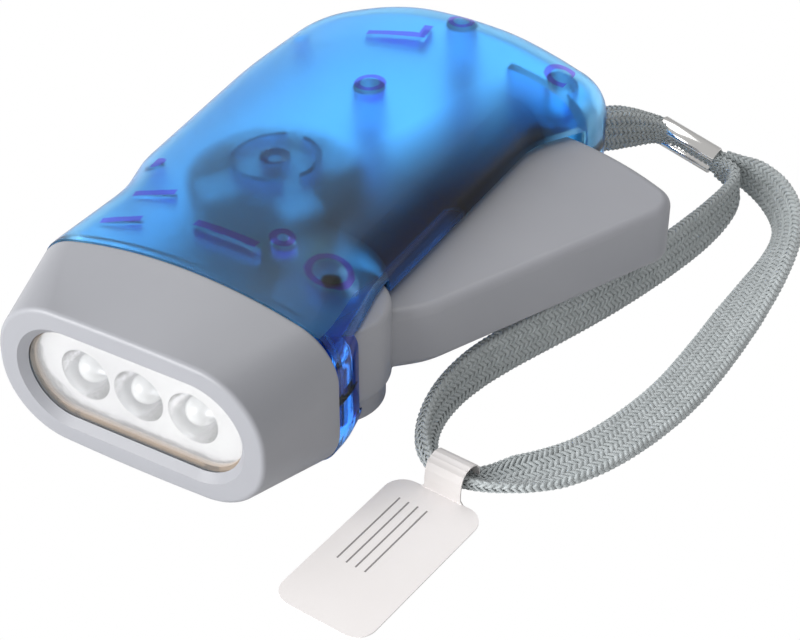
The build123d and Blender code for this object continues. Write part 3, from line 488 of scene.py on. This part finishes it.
dress(["head_cap"], grained("satin_grey", (0.275, 0.28, 0.305), (0.31, 0.315, 0.34), 0.42, relief=0.00002,
                            Coat_Weight=0.08, Coat_Roughness=0.3))
# the lever's grey is a lighter copy of the head cap's; the extra lightness is painted light for the light its top
# catches
dress(["lever"], grained("lit_lever_grey", (0.31, 0.315, 0.345), (0.35, 0.355, 0.385), 0.42, relief=0.00002,
                         Coat_Weight=0.08, Coat_Roughness=0.3))
dress(["upper_shell", "lower_shell"], shell_material())
dress(["lens"], grained("clear_pane", (0.96, 0.97, 0.98), (1.0, 1.0, 1.0), 0.03, grain=200.0, Alpha=0.10))
dress(["lens_gasket"], grained("tan_gasket", (0.24, 0.17, 0.11), (0.34, 0.25, 0.17), 0.6))
dress(["reflector"], grained("plated", (0.60, 0.60, 0.62), (0.88, 0.88, 0.88), 0.22, grain=420.0,
                             relief=0.0005, Metallic=0.9))
dress(["led_1", "led_2", "led_3"], grained("lamp_resin", (0.90, 0.92, 0.94), (0.98, 0.99, 1.0), 0.16,
                                           Transmission_Weight=0.5))
dress(["led_board"], grained("board", (0.62, 0.64, 0.62), (0.75, 0.76, 0.74), 0.5))
dress(["rectifier_diodes", "coil_bobbin"], grained("dark_plastic", (0.02, 0.02, 0.022), (0.04, 0.04, 0.045), 0.4))
dress(["cell_stack", "lever_pin", "return_spring", "gear_1_pin", "gear_2_pin", "drive_shaft", "plate_screws",
       "case_screws", "stator_cage", "stator_cap"],
      grained("steel", (0.50, 0.50, 0.52), (0.66, 0.66, 0.68), 0.30, Metallic=1.0))
dress(["gear_1", "gear_2", "rotor_pinion", "ratchet_cross"],
      grained("white_plastic", (0.86, 0.87, 0.86), (0.93, 0.93, 0.92), 0.4))
dress(["frame_plate"], grained("plate_plastic", (0.30, 0.32, 0.36), (0.38, 0.40, 0.44), 0.5))
dress(["coil_winding"], grained("copper", (0.55, 0.22, 0.09), (0.75, 0.35, 0.16), 0.35, Metallic=1.0))
dress(["flywheel"], grained("magnet", (0.09, 0.10, 0.12), (0.14, 0.16, 0.19), 0.5))


# ---------------------------------------------------------------- soft pieces
def webbing_material():
    """Grey yarn with a slight fuzz."""
    made = material("webbing", (0.50, 0.54, 0.55), 0.85, Sheen_Weight=0.35, Sheen_Roughness=0.5)
    nt, shader = tree(made)
    where = place(nt)
    tone = blend_colors(nt, noise(nt, where, 700.0, 5.0), (0.32, 0.35, 0.355), (0.58, 0.62, 0.63))
    nt.links.new(tone, shader.inputs["Base Color"])
    bumped(nt, shader, noise(nt, where, 5000.0, 2.0), 0.5, 0.00005)
    return made


def bright_metal():
    """Polished metal with a painted dark reflection where it turns away from view."""
    made = material("bright_metal", (0.98, 0.965, 0.95), 0.16, Metallic=1.0)
    nt, shader = tree(made)
    facing = add(nt, "ShaderNodeLayerWeight", Blend=0.5).outputs["Facing"]
    # painted dark reflection: the colour darkens where the face turns away from view
    edge = math_node(nt, "POWER", facing, 2.5)
    tone = blend_colors(nt, edge, (1.0, 0.985, 0.965), (0.22, 0.21, 0.22))
    nt.links.new(tone, shader.inputs["Base Color"])
    bumped(nt, shader, noise(nt, place(nt), 260.0, 2.0), 0.05, 0.0001)
    return made


def crimped_sleeve():
    """Pressed sleeve: an oval tube with a pinch along its front, and rolled ends."""
    start, end = Vector((31.9, 60.6, 11.0)) * MM, Vector((42.7, 60.3, 8.0)) * MM
    half_width, half_height = 2.1 * MM, 2.5 * MM
    pinch_depth, pinch_angle, pinch_spread = 0.42, 1.5 * math.pi, 0.26
    lip, wall = 0.18 * MM, 0.4 * MM
    count = 64
    length = (end - start).length
    along = (end - start).normalized()
    side = Vector((0, 0, 1)).cross(along).normalized()
    up = along.cross(side)
    verts, faces = [], []

    def ring(at, shrink):
        for i in range(count):
            angle = 2 * math.pi * i / count
            pinch = 1.0 - pinch_depth * math.exp(-((angle - pinch_angle) / pinch_spread) ** 2)
            wide = (half_width - shrink) * math.sin(angle) * pinch
            tall = (half_height - shrink) * math.cos(angle)
            tall = math.copysign(abs(tall / half_height) ** 0.8 * half_height, tall)
            verts.append(at + side * wide + up * tall)

    # distance along the sleeve and inset of each ring: out along the outside, back along the inside
    stations = [(lip, 0.0), (length - lip, 0.0), (length, lip), (length, wall - lip / 2), (length - lip, wall),
                (lip, wall), (0.0, wall - lip / 2), (0.0, lip)]
    for distance, shrink in stations:
        ring(start + along * distance, shrink)
    for k in range(len(stations)):
        a, b = k * count, ((k + 1) % len(stations)) * count
        for i in range(count):
            j = (i + 1) % count
            faces.append((a + i, b + i, b + j, a + j))
    return new_mesh("crimped_sleeve", verts, faces)


# where the tag's plate ends and its neck begins, and the directions along and across the tag
TAG_TURN = math.radians(-5.3)
TAG_TOP = Vector((39.7, -29.2, 0.0))
TAG_AHEAD = Vector((-math.sin(TAG_TURN), math.cos(TAG_TURN), 0.0))
TAG_ASIDE = Vector((math.cos(TAG_TURN), math.sin(TAG_TURN), 0.0))
RULES = (-4.6, -3.0, -1.4, 0.2)                         # the ruled lines, in mm across the tag
RULE_HALF = 0.14 * MM                                   # half width of a line
RULES_MIDDLE, RULES_HALF = -11.5 * MM, 7.5 * MM         # middle and half length of the lines, along the tag
NECK_ABOVE, NECK_TO, NECK_FADE = 0.42 * MM, 2.2 * MM, 1.2 * MM   # the near side of the neck's arch, where shade is painted


def card_tag():
    """Die-cut card tag that lies on the table, its neck bent up and over the strap."""
    length, half, corner, neck_half, thickness = 30.0, 7.9, 3.2, 3.15, 0.22
    columns = 9
    # profile along the tag: distance from the plate's top edge, height, half width
    round_off = [math.pi / 2 * i / 8 for i in range(9)]
    profile = [(-length + corner * (1 - math.cos(a)), 0.25, half - corner * (1 - math.sin(a))) for a in round_off]
    profile += [(y, 0.25, half) for y in (-22.0, -17.0, -12.0, -8.0)]
    profile += [(-corner + corner * math.sin(a), 0.27, half - corner * (1 - math.cos(a))) for a in round_off]
    profile += [(0.01, 0.3, neck_half + 0.5), (0.05, 0.9, neck_half), (0.1, 2.2, neck_half)]
    arch = [(0.3, 3.6), (0.8, 4.7), (1.6, 5.2), (2.6, 5.35), (3.4, 5.2), (4.1, 4.8),
            (4.7, 4.0), (4.9, 2.8), (4.8, 1.6), (4.3, 0.6)]
    profile += [(y, z, neck_half) for y, z in arch]
    verts, faces = [], []
    for y, z, w in profile:
        for i in range(columns):
            t = 2.0 * i / (columns - 1) - 1.0
            verts.append((TAG_TOP + TAG_AHEAD * y + TAG_ASIDE * (w * t) + Vector((0, 0, z))) * MM)
    for r in range(len(profile) - 1):
        for i in range(columns - 1):
            a = r * columns + i
            faces.append((a, a + 1, a + columns + 1, a + columns))
    made = new_mesh("card_tag", verts, faces, False)
    solid = made.modifiers.new("thickness", "SOLIDIFY")
    solid.thickness = thickness * MM
    solid.offset = 0.0
    return made


def card_material():
    """Bare card with plain ruled lines on its plate, and painted shade on the near side of its neck."""
    made = material("bare_card", (0.86, 0.83, 0.82), 0.55)
    nt, shader = tree(made)
    where = place(nt)
    x, y, z = split_axes(nt, where)
    dx = math_node(nt, "SUBTRACT", x, TAG_TOP.x * MM)
    dy = math_node(nt, "SUBTRACT", y, TAG_TOP.y * MM)
    over = measured(nt, dx, dy, TAG_ASIDE.x, TAG_ASIDE.y)
    along = measured(nt, dx, dy, TAG_AHEAD.x, TAG_AHEAD.y)
    gaps = [math_node(nt, "ABSOLUTE", math_node(nt, "SUBTRACT", over, rule * MM)) for rule in RULES]
    lines = largest(nt, [math_node(nt, "LESS_THAN", gap, RULE_HALF) for gap in gaps])
    from_middle = math_node(nt, "ABSOLUTE", math_node(nt, "SUBTRACT", along, RULES_MIDDLE))
    inked = product(nt, [lines, math_node(nt, "LESS_THAN", from_middle, RULES_HALF), 0.8])
    # painted shade on the near side of the neck's arch
    near = math_node(nt, "DIVIDE", math_node(nt, "SUBTRACT", NECK_TO, along), NECK_FADE, clamp=True)
    painted_neck_shade = product(nt, [math_node(nt, "GREATER_THAN", z, NECK_ABOVE), near])
    tone = blend_colors(nt, noise(nt, where, 90.0), (0.80, 0.765, 0.755), (0.84, 0.81, 0.80))
    tone = blend_colors(nt, inked, tone, (0.10, 0.09, 0.09))
    tone = blend_colors(nt, painted_neck_shade, tone, (0.57, 0.545, 0.535))
    nt.links.new(tone, shader.inputs["Base Color"])
    bumped(nt, shader, noise(nt, where, 2500.0, 3.0), 0.15, 0.00003)
    return made


webbing = webbing_material()
strap, strap_path = braid("wrist_strap", [(STRAP, 0.0)])
strap.data.materials.append(webbing)
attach(strap, "case")
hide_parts("strap_loop")

neck, _ = braid("strap_double", [(NECK, 0.5), (NECK, -0.5)])
neck.data.materials.append(webbing)
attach(neck, "case")
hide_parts("strap_neck")

sleeve = crimped_sleeve()
sleeve.data.materials.append(bright_metal())
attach(sleeve, "case")
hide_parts("crimp_sleeve")

tag = card_tag()
tag.data.materials.append(card_material())
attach(tag, "case")
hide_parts("paper_tag")


# ---------------------------------------------------------------- studio
LAMPS_AIM = Vector((0.015, 0.0, 0.01))
FLOOR_HALF, FLOOR_Z = 3, -0.0002


def area_light(name, location, size, power):
    data = bpy.data.lights.new(name, "AREA")
    data.shape = "RECTANGLE"
    data.size, data.size_y = size
    data.energy = power
    data.color = (1.0, 1.0, 1.0)
    lamp = bpy.data.objects.new(name, data)
    lamp.location = location
    lamp.rotation_euler = (Vector(location) - LAMPS_AIM).to_track_quat("Z", "Y").to_euler()
    bpy.context.collection.objects.link(lamp)


def floor_material():
    """Plain white to the camera, brighter through the plastic, pale and matt to all other rays."""
    made = bpy.data.materials.new("white_floor")
    made.use_nodes = True
    nt = made.node_tree
    nt.nodes.clear()
    rays = nt.nodes.new("ShaderNodeLightPath")
    glow = nt.nodes.new("ShaderNodeEmission")
    matt = nt.nodes.new("ShaderNodeBsdfDiffuse")
    matt.inputs["Color"].default_value = (0.85, 0.85, 0.85, 1.0)
    both = nt.nodes.new("ShaderNodeMixShader")
    out = nt.nodes.new("ShaderNodeOutputMaterial")
    direct = math_node(nt, "MAXIMUM", rays.outputs["Is Camera Ray"], rays.outputs["Is Transmission Ray"])
    through = math_node(nt, "MULTIPLY", rays.outputs["Is Transmission Ray"], 0.85)
    nt.links.new(math_node(nt, "ADD", through, 1.0), glow.inputs["Strength"])
    nt.links.new(direct, both.inputs[0])
    nt.links.new(matt.outputs[0], both.inputs[1])
    nt.links.new(glow.outputs[0], both.inputs[2])
    nt.links.new(both.outputs[0], out.inputs[0])
    return made


area_light("front_left", (-0.50, -0.90, 0.34), (0.9, 0.6), 17.0)
area_light("overhead", (-0.25, 0.25, 1.1), (1.0, 1.0), 4.0)

world = bpy.data.worlds.new("studio")
bpy.context.scene.world = world
world.use_nodes = True
world.node_tree.nodes["Background"].inputs["Color"].default_value = (1.0, 1.0, 1.0, 1.0)
world.node_tree.nodes["Background"].inputs["Strength"].default_value = 0.46

corners = [(x * FLOOR_HALF, y * FLOOR_HALF, FLOOR_Z) for x, y in ((-1, -1), (1, -1), (1, 1), (-1, 1))]
floor = new_mesh("floor", corners, [(0, 1, 2, 3)], False)
floor.data.materials.append(floor_material())

scene = bpy.context.scene
scene.view_settings.view_transform = "Standard"
scene.view_settings.look = "None"
